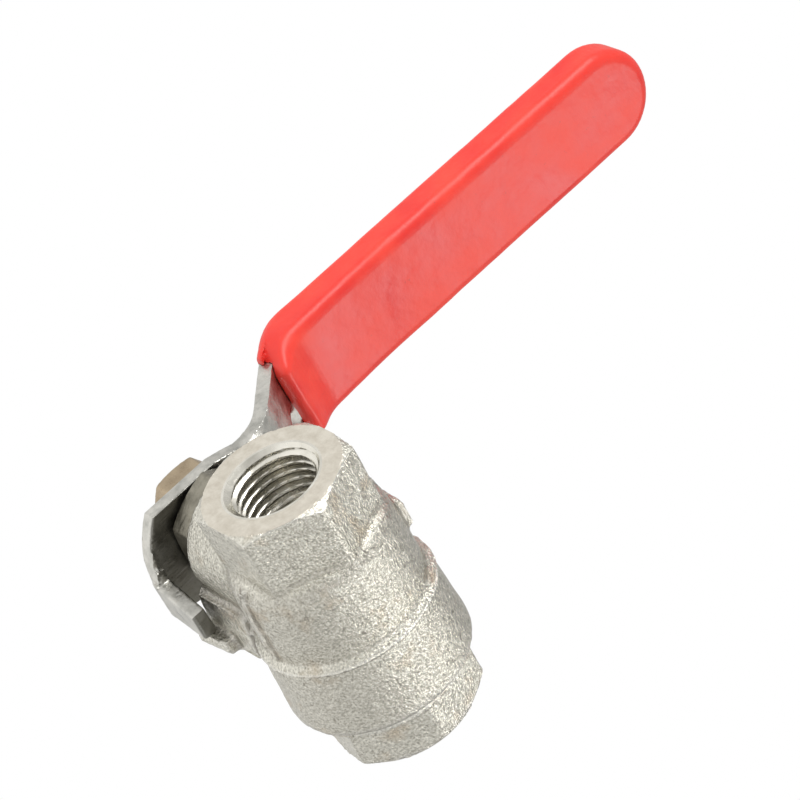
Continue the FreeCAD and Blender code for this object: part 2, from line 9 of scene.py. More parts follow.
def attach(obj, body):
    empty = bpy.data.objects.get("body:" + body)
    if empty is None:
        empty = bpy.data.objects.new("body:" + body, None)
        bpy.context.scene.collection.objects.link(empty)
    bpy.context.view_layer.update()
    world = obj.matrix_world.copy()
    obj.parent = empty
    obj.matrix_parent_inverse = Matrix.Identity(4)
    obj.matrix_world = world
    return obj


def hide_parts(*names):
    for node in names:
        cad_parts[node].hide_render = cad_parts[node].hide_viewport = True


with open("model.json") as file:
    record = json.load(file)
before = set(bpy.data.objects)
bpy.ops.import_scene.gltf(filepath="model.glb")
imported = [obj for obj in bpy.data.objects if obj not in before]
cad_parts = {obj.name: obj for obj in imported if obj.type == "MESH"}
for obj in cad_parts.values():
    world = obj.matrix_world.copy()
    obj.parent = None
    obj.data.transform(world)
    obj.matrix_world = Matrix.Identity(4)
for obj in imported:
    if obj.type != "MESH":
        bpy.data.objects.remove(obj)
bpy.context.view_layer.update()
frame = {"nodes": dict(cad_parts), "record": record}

# Shapes are drawn in millimetres about the ball's centre (X along the pipe, Y along the lever, Z up
# the stem). The frame's origin is the port face, so a point moves back by the port's distance.
PORT, FAR_PORT = 18.4, -25.2

FINE = 0.2


# ---- distance fields ------------------------------------------------------------------------------

def both(*fields, k=0.0):
    """What is inside every field, with its convex edges rounded over about k."""
    out = fields[0]
    for f in fields[1:]:
        h = np.maximum(k - np.abs(out - f), 0) / k if k else 0
        out = np.maximum(out, f) + h * h * k / 4
    return out


def either(*fields, k=0.0):
    """What is inside any field, with a fillet of about k where they meet."""
    return -both(*[-f for f in fields], k=k)


def polygon(u, v, corners):
    """Signed distance to a closed outline, negative inside."""
    near, sign = np.full(u.shape, 1e9), np.ones(u.shape)
    for (ax, ay), (bx, by) in zip(corners, corners[1:] + corners[:1]):
        ex, ey, wx, wy = bx - ax, by - ay, u - ax, v - ay
        t = np.clip((wx * ex + wy * ey) / (ex * ex + ey * ey), 0, 1)
        near = np.minimum(near, (wx - ex * t) ** 2 + (wy - ey * t) ** 2)
        crossing = ((ay <= v) != (by <= v)) & ((ex * wy > ey * wx) == (by > ay))
        sign = np.where(crossing, -sign, sign)
    return sign * np.sqrt(near)


def rounded_path(corners, radii, steps=7):
    """An open line with an arc in place of each inner corner."""
    out = [corners[0]]
    for before, here, after, radius in zip(corners, corners[1:], corners[2:], radii):
        here = np.array(here, float)
        a, b = [np.array(p, float) - here for p in (before, after)]
        a, b = a / np.linalg.norm(a), b / np.linalg.norm(b)
        half = math.acos(float(np.clip(a @ b, -1, 1))) / 2
        centre = here + (a + b) / np.linalg.norm(a + b) * radius / math.sin(half)
        start = here + a * radius / math.tan(half) - centre
        end = here + b * radius / math.tan(half) - centre
        for k in range(steps + 1):
            t = k / steps
            arm = start * (1 - t) + end * t
            out.append(tuple(centre + arm / np.linalg.norm(arm) * radius))
    return out + [corners[-1]]


def to_path(u, v, points):
    """Distance to an open line, never negative."""
    near = np.full(u.shape, 1e9)
    for (ax, ay), (bx, by) in zip(points, points[1:]):
        ex, ey, wx, wy = bx - ax, by - ay, u - ax, v - ay
        t = np.clip((wx * ex + wy * ey) / math.hypot(ex, ey) ** 2, 0, 1)
        near = np.minimum(near, (wx - ex * t) ** 2 + (wy - ey * t) ** 2)
    return np.sqrt(near)


def hexagon(u, v, flats, first_normal, k=0.0):
    """A hexagon by its size across flats and the direction, in degrees, that one flat faces."""
    turns = [math.radians(first_normal + 60 * i) for i in range(3)]
    return both(*[np.abs(u * math.cos(a) + v * math.sin(a)) - flats / 2 for a in turns], k=k)


def slab(t, low, high):
    """What is between two parallel planes."""
    return np.maximum(low - t, t - high)


def smooth(t, low, high):
    """A soft step from 0 at low to 1 at high."""
    t = np.clip((t - low) / (high - low), 0, 1)
    return t * t * (3 - 2 * t)


def noise(points, scale, seed=0):
    """Smooth repeatable noise from -1 to 1 over points in millimetres."""
    q = points / scale + 0.37 * seed
    cell = np.floor(q).astype(np.int64)
    f = q - cell
    f = f * f * (3 - 2 * f)
    total = np.zeros(len(q))
    for corner in range(8):
        step = np.array([corner & 1, corner >> 1 & 1, corner >> 2 & 1])
        i, j, k = (cell + step).T
        h = (i * 73856093) ^ (j * 19349663) ^ (k * 83492791) ^ (seed * 2654435761)
        h = ((h ^ (h >> 13)) * 1274126177) & 0xFFFFFF
        share = np.prod(np.where(step, f, 1 - f), axis=1)
        total += share * (h / 0x7FFFFF - 1)
    return total


# ---- meshes from distance fields --------------------------------------------------------------------

# SLOPE_STEP is in millimetres, BLOCK in grid points. MIDDLE_PULL draws each corner of the mesh
# towards the middle of the cuts around it.
SLOPE_STEP = 0.01
BLOCK = 4
MIDDLE_PULL = 0.05


def slope(field, p):
    """The unit outward normal, from four samples on a small tetrahedron."""
    ways = np.array([(1, -1, -1), (-1, -1, 1), (-1, 1, -1), (1, 1, 1)], float)
    n = sum(w * field(p + w * SLOPE_STEP)[:, None] for w in ways)
    return n / np.maximum(np.linalg.norm(n, axis=1), 1e-9)[:, None]


def sampled(field, low, step, shape):
    """The field on a grid. Far from the surface one value stands for a block of grid points."""
    blocks = [-(-n // BLOCK) for n in shape]
    index = np.indices(blocks).reshape(3, -1).T
    grid = field(low + (index * BLOCK + (BLOCK - 1) / 2) * step).reshape(blocks)
    for axis in range(3):
        grid = np.repeat(grid, BLOCK, axis)
    grid = grid[:shape[0], :shape[1], :shape[2]].copy()
    # A block's corners are 2.6 steps from its sample, and some fields rise faster than distance.
    margin = 4.2 * step + 0.3
    near = np.argwhere(np.abs(grid) < margin)
    points_at_once = 400000
    for part in np.array_split(near, max(1, len(near) // points_at_once)):
        grid[tuple(part.T)] = field(low + part * step)
    return grid


def crossed_edges(field, grid, low, step, axis):
    """The grid edges along one axis that the surface cuts.

    For each edge: the four cells around it, the cut, the normal there, and whether it leads inwards.
    """
    side = [slice(None)] * 3
    side[axis] = slice(0, -1)
    before = grid[tuple(side)]
    side[axis] = slice(1, None)
    after = grid[tuple(side)]
    at = np.argwhere((before < 0) != (after < 0))
    u, v = (axis + 1) % 3, (axis + 2) % 3
    at = at[(at[:, u] > 0) & (at[:, v] > 0)]
    first, second = before[tuple(at.T)], after[tuple(at.T)]
    spots = low + at * step
    spots[:, axis] += first / (first - second) * step
    around = []
    for du, dv in ((1, 1), (0, 1), (0, 0), (1, 0)):
        cell = at.copy()
        cell[:, u] -= du
        cell[:, v] -= dv
        around.append(np.ravel_multi_index(cell.T, grid.shape))
    return np.stack(around, 1), spots, slope(field, spots), first >= 0


def gathered(corner, values, count):
    """For each of count cells, the sum of the values of the cuts around it."""
    out = np.zeros((count, values.shape[1]))
    for k in range(4):
        for c in range(values.shape[1]):
            out[:, c] += np.bincount(corner[:, k], values[:, c], count)
    return out


def contoured(field, low, high, step):
    """Corners and quads of the field's zero surface, with its sharp edges kept (dual contouring)."""
    low, high = np.array(low, float), np.array(high, float)
    grid = sampled(field, low, step, np.ceil((high - low) / step).astype(int) + 1)
    cuts = [crossed_edges(field, grid, low, step, axis) for axis in range(3)]
    cells, spots, normals, inwards = map(np.concatenate, zip(*cuts))
    owner, corner = np.unique(cells.ravel(), return_inverse=True)
    corner = corner.reshape(cells.shape)
    count = len(owner)
    middle = gathered(corner, spots, count) / gathered(corner, np.ones((len(spots), 1)), count)
    spread = (normals[:, :, None] * normals[:, None, :]).reshape(-1, 9)
    square = gathered(corner, spread, count).reshape(-1, 3, 3)
    reach = gathered(corner, normals * np.sum(normals * spots, 1)[:, None], count)
    right = reach - np.einsum("nij,nj->ni", square, middle)
    moved = np.linalg.solve(square + MIDDLE_PULL * np.eye(3), right[..., None])[..., 0]
    base = low + np.stack(np.unravel_index(owner, grid.shape), 1) * step
    points = np.clip(middle + moved, base, base + step)
    return points, np.where(inwards[:, None], corner[:, ::-1], corner)


def lathed(profile, turns):
    """A closed skin about the X axis from a closed (x, r) outline that may change with the angle."""
    points = []
    for k in range(turns):
        a = 2 * math.pi * k / turns
        ring = profile(a)
        points += [(x, r * math.cos(a), r * math.sin(a)) for x, r in ring]
    n = len(ring)
    quads = []
    for k in range(turns):
        here, beyond = k * n, (k + 1) % turns * n
        quads += [(here + i, here + (i + 1) % n, beyond + (i + 1) % n, beyond + i) for i in range(n)]
    return np.array(points), np.array(quads)


def piece(name, points, quads, material, body, nodes=(), sharp=35, **marks):
    """A mesh object in the frame, riding on its body, with per-point numbers for its material."""
    mesh = bpy.data.meshes.new(name)
    mesh.from_pydata(((points - (PORT, 0, 0)) / 1000).tolist(), [], quads.tolist())
    mesh.validate()
    for key, values in marks.items():
        mesh.attributes.new(key, "FLOAT", "POINT").data.foreach_set("value", values.astype(np.float32))
    mesh.materials.append(MATERIALS[material])
    mesh.shade_smooth()
    mesh.set_sharp_from_angle(angle=math.radians(sharp))
    obj = bpy.data.objects.new(name, mesh)
    bpy.context.scene.collection.objects.link(obj)
    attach(obj, body)
    if nodes:
        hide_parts(*nodes)
    return obj


def bend_marks(field, points, reach=0.7):
    """How convex (edge) and how concave (crevice) the surface is at each point, from 0 to 1."""
    n = slope(field, points)
    edge = np.clip((field(points - n * reach) + reach) / reach, 0, 1)
    crevice = np.clip((reach - field(points + n * reach)) / reach, 0, 1)
    return n, edge, crevice


# ---- materials --------------------------------------------------------------------------------------

class Nodes:
    """A small helper that adds shader nodes to one material and links them."""

    def __init__(self, name):
        self.material = bpy.data.materials.new(name)
        self.material.use_nodes = True
        self.tree = self.material.node_tree
        self.shader = self.tree.nodes["Principled BSDF"]
        self.where = self.add("ShaderNodeTexCoord").outputs["Object"]

    def add(self, kind, **settings):
        node = self.tree.nodes.new(kind)
        for key, value in settings.items():
            setattr(node, key, value)
        return node

    def put(self, node, key, value):
        if isinstance(value, bpy.types.NodeSocket):
            self.tree.links.new(value, node.inputs[key])
        else:
            node.inputs[key].default_value = value

    def noise(self, size_mm, detail=3.0, rough=0.55, stretch=None):
        node = self.add("ShaderNodeTexNoise")
        where = self.where
        if stretch:
            mapping = self.add("ShaderNodeMapping")
            self.put(mapping, "Vector", where)
            self.put(mapping, "Scale", stretch)
            where = mapping.outputs["Vector"]
        self.put(node, "Vector", where)
        self.put(node, "Scale", 1000.0 / size_mm)
        self.put(node, "Detail", detail)
        self.put(node, "Roughness", rough)
        return node.outputs["Fac"]

    def ramp(self, value, low, high, out_low=0.0, out_high=1.0):
        node = self.add("ShaderNodeMapRange")
        for key, v in (("Value", value), ("From Min", low), ("From Max", high), ("To Min", out_low),
                       ("To Max", out_high)):
            self.put(node, key, v)
        return node.outputs["Result"]

    def maths(self, kind, a, b):
        node = self.add("ShaderNodeMath", operation=kind)
        self.put(node, 0, a)
        self.put(node, 1, b)
        return node.outputs[0]

    def mix(self, share, a, b):
        node = self.add("ShaderNodeMix", data_type="RGBA")
        self.put(node, 0, share)
        for key, colour in ((6, a), (7, b)):
            self.put(node, key, colour if isinstance(colour, bpy.types.NodeSocket) else (*colour, 1.0))
        return node.outputs[2]

    def mark(self, key):
        return self.add("ShaderNodeAttribute", attribute_name=key).outputs["Fac"]

    def bump(self, height, depth_mm):
        node = self.add("ShaderNodeBump")
        self.put(node, "Height", height)
        self.put(node, "Distance", depth_mm / 1000.0)
        return node.outputs["Normal"]

    def finish(self, **inputs):
        for key, value in inputs.items():
            key = key.replace("_", " ")
            if isinstance(value, tuple):
                value = (*value, 1.0)
            self.put(self.shader, key, value)
        return self.material


# Colours are linear, as the shader takes them.
GRAIN_DARK, GRAIN_BRIGHT, GRAIN_STAIN = (0.53, 0.515, 0.45), (0.92, 0.90, 0.82), (0.55, 0.43, 0.29)
# On the next line the crevice colour is painted shade and the edge colour a painted highlight.
GRAIN_PIT, CREVICE_PAINTED_SHADE, EDGE_PAINTED_HIGHLIGHT = (0.24, 0.22, 0.18), (0.17, 0.14, 0.10), (0.86, 0.85, 0.81)
# The last colour on the next line is painted shade for the thread's valleys and the deep bore.
FACE_BRIGHT, FACE_WORN, GROOVE_PAINTED_SHADE = (0.86, 0.815, 0.725), (0.70, 0.65, 0.56), (0.10, 0.085, 0.065)
# Painted shade for the lever's underside and the tab's inner face.
STEEL_PAINTED_SHADE = (0.10, 0.095, 0.08)
VINYL_DARK, VINYL_BRIGHT, VINYL_DUST = (0.78, 0.040, 0.034), (0.90, 0.070, 0.048), (0.42, 0.07, 0.06)


def nickel_forging():
    """Grainy plated forging. The marks say where it is machined, an edge or a crevice; edges get a painted
    highlight and crevices painted shade.
    """
    m = Nodes("nickel_forging")
    grain = m.noise(0.36, 3)
    coarse = m.noise(1.3, 2)
    stain = m.noise(5.0, 3)
    pits = m.ramp(m.noise(0.6, 2, 0.7), 0.60, 0.70)
    colour = m.mix(m.ramp(grain, 0.32, 0.68), GRAIN_DARK, GRAIN_BRIGHT)
    colour = m.mix(m.ramp(stain, 0.56, 0.72, 0.0, 0.45), colour, GRAIN_STAIN)
    colour = m.mix(m.maths("MULTIPLY", pits, 0.6), colour, GRAIN_PIT)
    # Painted shade: darker in crevices and corners, where shade falls.
    colour = m.mix(m.ramp(m.mark("crevice"), 0.04, 0.45, 0.0, 0.75), colour, CREVICE_PAINTED_SHADE)
    # Painted highlight: lighter on convex edges, as if they caught the light.
    colour = m.mix(m.ramp(m.mark("edge"), 0.1, 0.5, 0.0, 0.5), colour, EDGE_PAINTED_HIGHLIGHT)
    worn = m.mix(m.ramp(m.noise(1.7, 3, 0.7), 0.35, 0.68), FACE_BRIGHT, FACE_WORN)
    colour = m.mix(m.ramp(m.mark("machined"), 0.5, 0.9), colour, worn)
    height = m.maths("ADD", m.maths("MULTIPLY", coarse, 0.6), grain)
    height = m.maths("MULTIPLY", height, m.ramp(m.mark("machined"), 0.0, 1.0, 1.0, 0.12))
    rough = m.ramp(m.mark("machined"), 0.0, 1.0, 0.22, 0.38)
    return m.finish(Base_Color=colour, Metallic=1.0, Roughness=rough, Normal=m.bump(height, 0.26))


def turned(name, low, high, rough):
    """Metal with fine turning rings across the pipe's axis, with painted shade where the groove mark says."""
    m = Nodes(name)
    rings = m.noise(0.12, 2, 0.6, (1.0, 0.02, 0.02))
    cloud = m.noise(3.0, 3)
    colour = m.mix(m.ramp(cloud, 0.35, 0.65), low, high)
    # Painted shade in the thread's valleys and deep in the bore.
    colour = m.mix(m.mark("groove"), colour, GROOVE_PAINTED_SHADE)
    roughness = m.ramp(cloud, 0.3, 0.7, rough - 0.06, rough + 0.08)
    return m.finish(Base_Color=colour, Metallic=1.0, Roughness=roughness, Normal=m.bump(rings, 0.012))


def zinc_steel(name, low, high, rough, tint):
    """Plated steel with streaks and tinted spots, and painted shade where the lever's shade mark says."""
    m = Nodes(name)
    streaks = m.noise(0.35, 3, 0.6, (1.0, 0.12, 0.5))
    cloud = m.noise(2.2, 5, 0.65)
    spots = m.ramp(m.noise(1.1, 3, 0.7), 0.58, 0.70)
    colour = m.mix(m.ramp(cloud, 0.35, 0.65), low, high)
    colour = m.mix(m.maths("MULTIPLY", spots, 0.5), colour, tint)
    colour = m.mix(m.ramp(streaks, 0.35, 0.75, 0.0, 0.3), colour, high)
    # Painted shade: darker under the lever's hub and on its tab's inner face.
    colour = m.mix(m.mark("grime"), colour, STEEL_PAINTED_SHADE)
    height = m.maths("ADD", streaks, m.noise(1.4, 3))
    roughness = m.ramp(cloud, 0.3, 0.7, rough - 0.07, rough + 0.08)
    return m.finish(Base_Color=colour, Metallic=1.0, Roughness=roughness, Normal=m.bump(height, 0.07))


def vinyl():
    """Soft red plastic with faint waves and dust specks."""
    m = Nodes("red_vinyl")
    cloud = m.noise(9.0, 4)
    dust = m.ramp(m.noise(1.3, 3, 0.7), 0.66, 0.74)
    colour = m.mix(m.ramp(cloud, 0.35, 0.65), VINYL_DARK, VINYL_BRIGHT)
    colour = m.mix(m.maths("MULTIPLY", dust, 0.35), colour, VINYL_DUST)
    height = m.maths("ADD", m.noise(3.5, 2), m.maths("MULTIPLY", m.noise(0.7, 2), 0.25))
    roughness = m.ramp(cloud, 0.3, 0.7, 0.30, 0.42)
    return m.finish(Base_Color=colour, Roughness=roughness, Normal=m.bump(height, 0.10),
                    Subsurface_Weight=0.12, Subsurface_Scale=0.001, Specular_IOR_Level=0.32)


def plain(name, colour, shade, rough, metallic=0.0):
    """An even material for the hidden parts, slightly clouded."""
    m = Nodes(name)
    cloud = m.noise(2.0, 4)
    mixed = m.mix(m.ramp(cloud, 0.35, 0.65), shade, colour)
    roughness = m.ramp(cloud, 0.3, 0.7, rough - 0.04, rough + 0.06)
    return m.finish(Base_Color=mixed, Metallic=metallic, Roughness=roughness,
                    Normal=m.bump(m.noise(2.0 / 6, 3), 0.01))


MATERIALS = {
    "nickel_forging": nickel_forging(),
    "machined_nickel": turned("machined_nickel", (0.74, 0.72, 0.65), (0.92, 0.90, 0.83), 0.24),
    "ball_chrome": plain("ball_chrome", (0.82, 0.82, 0.82), (0.74, 0.74, 0.75), 0.08, 1.0),
    "seat_white": plain("seat_white", (0.88, 0.88, 0.85), (0.80, 0.80, 0.77), 0.45),
    "stem_brass": plain("stem_brass", (0.75, 0.62, 0.36), (0.62, 0.49, 0.27), 0.28, 1.0),
    "gland_nickel": zinc_steel("gland_nickel", (0.17, 0.16, 0.13), (0.38, 0.36, 0.30), 0.34,
                               (0.12, 0.10, 0.07)),
    "lever_steel": zinc_steel("lever_steel", (0.44, 0.44, 0.41), (0.74, 0.73, 0.69), 0.33,
                              (0.36, 0.33, 0.28)),
    "red_vinyl": vinyl(),
    "nut_steel": zinc_steel("nut_steel", (0.36, 0.28, 0.19), (0.54, 0.44, 0.31), 0.30, (0.22, 0.15, 0.09)),
}


# ---- body and end retainer --------------------------------------------------------------------------

# Radii of the hollows. LINER is the hollow that a port's thread lining fills.
LINER = 7.2
BORE = 4.6
SEAT_POCKET = 8.03
CHAMBER = 8.9
NOSE_THREAD = 10.5

BODY_REAR = -16.8
BODY_HEX_FLATS, RETAINER_HEX_FLATS = 20.0, 20.8
BOSS_RADIUS, BOSS_TOP = 9.7, 20.5
STEM_RADIUS = 3.06

# The barrel's radius along X, with a small raised ring and a step down near x = -5.
BARREL = [(BODY_REAR, 13.72), (-12.0, 13.50), (-9.0, 13.36), (-6.0, 13.12), (-5.55, 13.05), (-5.35, 13.00),
          (-5.1, 13.42), (-4.9, 13.44), (-4.1, 12.60), (-3.7, 12.32), (0.0, 12.30), (4.0, 12.25),
          (6.0, 12.10), (8.0, 11.85), (9.4, 11.60), (12.0, 11.30)]


def cavity(x, r):
    """The stepped hollow along the body, from its port to the end retainer's thread."""
    beyond = PORT + 1.0
    return polygon(x, r, [(beyond, -1.0), (beyond, LINER), (8.4, LINER), (8.4, BORE), (7.8, BORE),
                          (7.8, SEAT_POCKET), (4.7, SEAT_POCKET), (4.7, CHAMBER), (-8.4, CHAMBER),
                          (-8.4, NOSE_THREAD), (-17.8, NOSE_THREAD), (-17.8, -1.0)])


def housing(stem, z):
    """The stepped hollow for the stem, its packing and the gland nut."""
    above = BOSS_TOP + 1.5
    return polygon(stem, z, [(-1.0, 4.7), (4.6, 4.7), (4.6, 11.0), (STEM_RADIUS, 11.0), (STEM_RADIUS, 12.6),
                             (5.0, 12.6), (5.0, 20.0), (5.5, BOSS_TOP), (5.5, above), (-1.0, above)])


def barrel_and_hex(p):
    """The barrel, the wrench hexagon at the port and the ragged flash line between the dies."""
    x, y, z = p.T
    r = np.hypot(y, z)
    to_barrel = r - np.interp(x, *zip(*BARREL))
    round_part = both(to_barrel * 0.9, BODY_REAR - x, k=1.2)
    shoulder = 0.88 * (x - 8.9) + 0.47 * (r - 10.0)
    round_part = both(round_part, shoulder, k=1.3)
    hex_part = both(hexagon(y, z, BODY_HEX_FLATS, 0, k=0.4), 5.0 - x)
    outer = either(round_part, hex_part, k=0.35)
    ragged = 0.24 * noise(p, 1.1, 21) + 0.16 * noise(p, 2.3, 22)
    flash = both(to_barrel - 0.10 - ragged, np.abs(z) - 0.40 - ragged, slab(x, -5.0, 8.0))
    return either(outer, flash, k=0.5)


def stop_lug(x, y, z):
    """The lug that the lever's tab and ear stop against, and the web that carries it."""
    plan = polygon(x, y, [(-7.2, -2.0), (-9.6, -2.0), (-9.6, -12.9), (-8.9, -13.9), (-7.9, -13.9),
                          (-7.2, -13.2)])
    foot = 13.6
    lug = both(plan, slab(z, foot, 20.45), -y - 13.1 - 0.12 * (z - foot), k=0.6)
    web_plan = polygon(x, y, [(-2.5, -2.0), (-9.6, -2.0), (-9.6, -11.4), (-7.3, -11.4), (-2.5, -10.7)])
    return either(lug, both(web_plan, slab(z, 9.0, 20.4), k=0.6), k=0.8)


def side_pad(x, y, z):
    """The flat pad on the barrel's side, a rectangle with cut corners."""
    plan = [(4.5, 3.2), (3.7, 4.0), (0.3, 4.0), (-0.5, 3.2), (-0.5, -3.2), (0.3, -4.0), (3.7, -4.0),
            (4.5, -3.2)]
    return both(polygon(x, z, plan), slab(y, 6.0, 12.9), k=0.5)


def forged_body(p):
    """The forged body with its boss, stop lug, side pad, hollows and chamfered port."""
    x, y, z = p.T
    r, stem = np.hypot(y, z), np.hypot(x, y)
    boss = both(stem - BOSS_RADIUS, slab(z, 0.0, BOSS_TOP), k=0.8)
    outer = either(barrel_and_hex(p), boss, k=2.2)
    outer = either(outer, stop_lug(x, y, z), k=1.5)
    outer = either(outer, side_pad(x, y, z), k=0.7)
    port_chamfer = 0.866 * (x - PORT) + 0.5 * (r - 10.0)
    outer = both(outer, port_chamfer)
    outer = both(outer, x - PORT)
    return both(outer, -cavity(x, r), -housing(stem, z))


def retainer(p):
    """The end retainer: a hollow nose with a flange, and a wrench hexagon."""
    x, y, z = p.T
    r = np.hypot(y, z)
    nose = polygon(x, r, [(-5.0, -1.0), (-5.0, 8.85), (-9.1, 8.85), (-9.1, 10.45), (BODY_REAR, 10.45),
                          (BODY_REAR, 12.5), (-17.0, 12.7), (-17.6, 12.7), (-18.9, 10.4), (-18.9, -1.0)])
    hex_part = both(hexagon(y, z, RETAINER_HEX_FLATS, 52.2, k=0.45), slab(x, FAR_PORT, -17.0), k=0.12)
    port_chamfer = 0.616 * (FAR_PORT - x) * 1.2 + 0.788 * (r - 10.3) * 0.8
    hex_part = both(hex_part, port_chamfer)
    outer = either(nose, hex_part, k=0.5)
    beyond = FAR_PORT - 1.0
    bore = polygon(x, r, [(beyond, -1.0), (beyond, LINER), (-15.2, LINER), (-15.2, BORE), (-7.8, BORE),
                          (-7.8, SEAT_POCKET), (-4.0, SEAT_POCKET), (-4.0, -1.0)])
    return both(outer, -bore)


def forged(name, field, low, high, node, face):
    """A forging's piece: lumpy where it is cast, less so on its chamfer, smooth where it is machined."""
    points, quads = contoured(field, low, high, FINE)
    normal, edge, crevice = bend_marks(field, points)
    x, r = points[:, 0], np.hypot(points[:, 1], points[:, 2])
    out = 1 if face > 0 else -1
    machined = (np.abs(x - face) < 0.03) | (r < CHAMBER)
    chamfer_depth, chamfer_share = 2.2, 0.55
    chamfer = (normal[:, 0] * out > 0.3) & ((x - face) * out > -chamfer_depth)
    cast = np.where(machined, 0.0, np.where(chamfer, chamfer_share, 1.0))
    lumps = 0.05 * noise(points, 2.6, 1) + 0.035 * noise(points, 1.1, 2) + 0.03 * noise(points, 0.5, 3) - 0.09
    burr = np.clip(edge * 3.0, 0, 1) * (0.06 * noise(points, 0.7, 31) - 0.05)
    points = points + normal * ((lumps + burr) * cast)[:, None]
    # The edge and crevice marks drive the painted highlight on edges and the painted shade in crevices.
    return piece(name, points, quads, "nickel_forging", "valve", (node,), machined=1 - cast, edge=edge,
                 crevice=crevice)


def port_thread(name, face, inward):
    """The threaded lining of a port: a ring whose inner skin is the helical G 1/4 groove."""
    pitch, root, crest, depth = 1.337, 6.575, 5.75, 10.0
    root_flat, flank = 0.14, 0.62
    countersink, countersink_slope = 6.85, 0.92
    runout_length, back = 1.6, LINER + 0.02
    stations = np.linspace(0.0, depth, 150)

    def outline(angle):
        turn = (stations / pitch - angle / (2 * math.pi)) % 1.0
        climb = np.clip((np.abs(turn - 0.5) * 2 - root_flat) / flank, 0, 1)
        wall = crest + (root - crest) * (1 - climb)
        mouth = countersink - stations * countersink_slope
        runout = smooth(stations, depth - runout_length, depth)
        wall = np.maximum(wall * (1 - runout) + crest * runout, mouth)
        inner = [(face + inward * s, r) for s, r in zip(stations, wall)]
        return inner + [(face + inward * depth, back), (face, back)]

    points, quads = lathed(outline, 180)
    if inward > 0:
        quads = quads[:, ::-1]
    # The groove mark is painted shade: darker in the thread's valleys and deeper in the bore.
    deep = np.abs(points[:, 0] - face) / depth
    valley = np.clip((np.hypot(points[:, 1], points[:, 2]) - crest) / (root - crest), 0, 1)
    groove = smooth(deep, 0.05, 0.16) * (0.7 * smooth(valley, 0.72, 1.0) + 0.25 * deep)
    return piece(name, points, quads, "machined_nickel", "valve", sharp=28, groove=groove)


forged("body_forging", forged_body, (-17.4, -14.6, -14.4), (18.9, 14.4, 21.2), "valve_body", PORT)
forged("retainer_hex", retainer, (-25.8, -13.4, -13.4), (-4.4, 13.4, 13.4), "end_retainer", FAR_PORT)
port_thread("body_port_thread", PORT, -1)
port_thread("retainer_port_thread", FAR_PORT, 1)


# ---- lever and sleeve -------------------------------------------------------------------------------

def round_end(x, y, radius):
    """Half a circle about (x, y), from its right to its left end."""
    return [(x + radius * math.cos(a), y + radius * math.sin(a)) for a in np.linspace(0, math.pi, 25)]


# Below BEND_LEVEL the tab and the ear are cut to their own outlines, which end at STOP_LEVEL.
HALF_SHEET = 1.15
BEND_LEVEL = 25.6
STOP_LEVEL, FAR_LEVEL = 16.9, 45.0

# Middle lines of the bent sheet, seen from the side and from the end.
STRAP = rounded_path([(-13.20, 14.0), (-12.15, 27.45), (11.89, 27.45), (23.29, 40.0), (105.0, 40.0)],
                     [1.25, 8.15, 10.15])
EAR = rounded_path([(-12.85, 14.0), (-12.85, 27.45), (0.0, 27.45)], [1.6])

# Outlines seen from above: the flat sheet, the sleeve's hollow, the sleeve's skin and the ear's wing.
LEVER_PLAN = [(7.5, -8.3), (7.5, 3.0), (6.9, 5.6), (6.3, 7.6), *round_end(0.0, 88.0, 6.3), (-6.3, 7.6),
              (-6.9, 5.6), (-7.5, 3.0), (-8.5, -8.0), (-8.2, -10.6), (-7.3, -12.0), (-7.3, -16.0),
              (-1.2, -16.0), (-1.2, -12.95), (1.8, -12.1), (4.4, -10.7), (6.4, -9.3)]
SLEEVE_PLAN = [(6.3, 0.0), *round_end(0.0, 88.0, 6.3), (-6.3, 0.0)]
SLEEVE_OUTER = [(6.75, 0.0), *round_end(0.25, 87.45, 6.5), (-6.25, 0.0)]
WING_PLAN = [(-5.0, -1.0), (-7.5, -1.0), (-14.2, 7.75), (-14.2, 13.5), (-10.7, 13.5), (-6.9, 8.1),
             (-5.0, 7.0)]

# The tab and the ear that hang below the bends, each seen square to its own face.
TAB_FRONT = [(-1.2, FAR_LEVEL), (-1.2, 26.3), (-2.55, STOP_LEVEL), (-6.8, STOP_LEVEL), (-7.3, 26.3),
             (-7.3, FAR_LEVEL)]
EAR_FRONT = [(9.75, STOP_LEVEL), (13.5, STOP_LEVEL), (13.5, FAR_LEVEL), (9.75, FAR_LEVEL)]

RELIEF_HOLE, RELIEF_RADIUS = (-2.3, 19.8), 1.8
DRIVE_HALF = 2.26


def lever(p):
    """The bent strip with its stop tab, its ear, the stem's slot and the relief hole."""
    x, y, z = p.T
    strap = both(to_path(y, z, STRAP) - HALF_SHEET, polygon(x, y, LEVER_PLAN), k=0.25)
    strap = np.where(z < BEND_LEVEL, both(strap, polygon(x, z, TAB_FRONT), k=0.5), strap)
    ear = both(to_path(x, z, EAR) - HALF_SHEET, polygon(x, y, WING_PLAN), k=0.25)
    ear = np.where(z < BEND_LEVEL, both(ear, polygon(y, z, EAR_FRONT), k=0.5), ear)
    strap = either(strap, ear, k=0.15)
    round_hole = RELIEF_RADIUS - np.hypot(x - RELIEF_HOLE[0], y - RELIEF_HOLE[1])
    slot = -both(np.hypot(x, y) - STEM_RADIUS, np.abs(x) - DRIVE_HALF)
    return both(both(strap, round_hole, k=0.35), slot)


# The sleeve's mouth is a cut square to the grip. RISE is the direction of the bend's slope.
MOUTH_CUT = 20.4
RISE_START, RISE = (20.29, 36.70), (0.673, 0.7396)


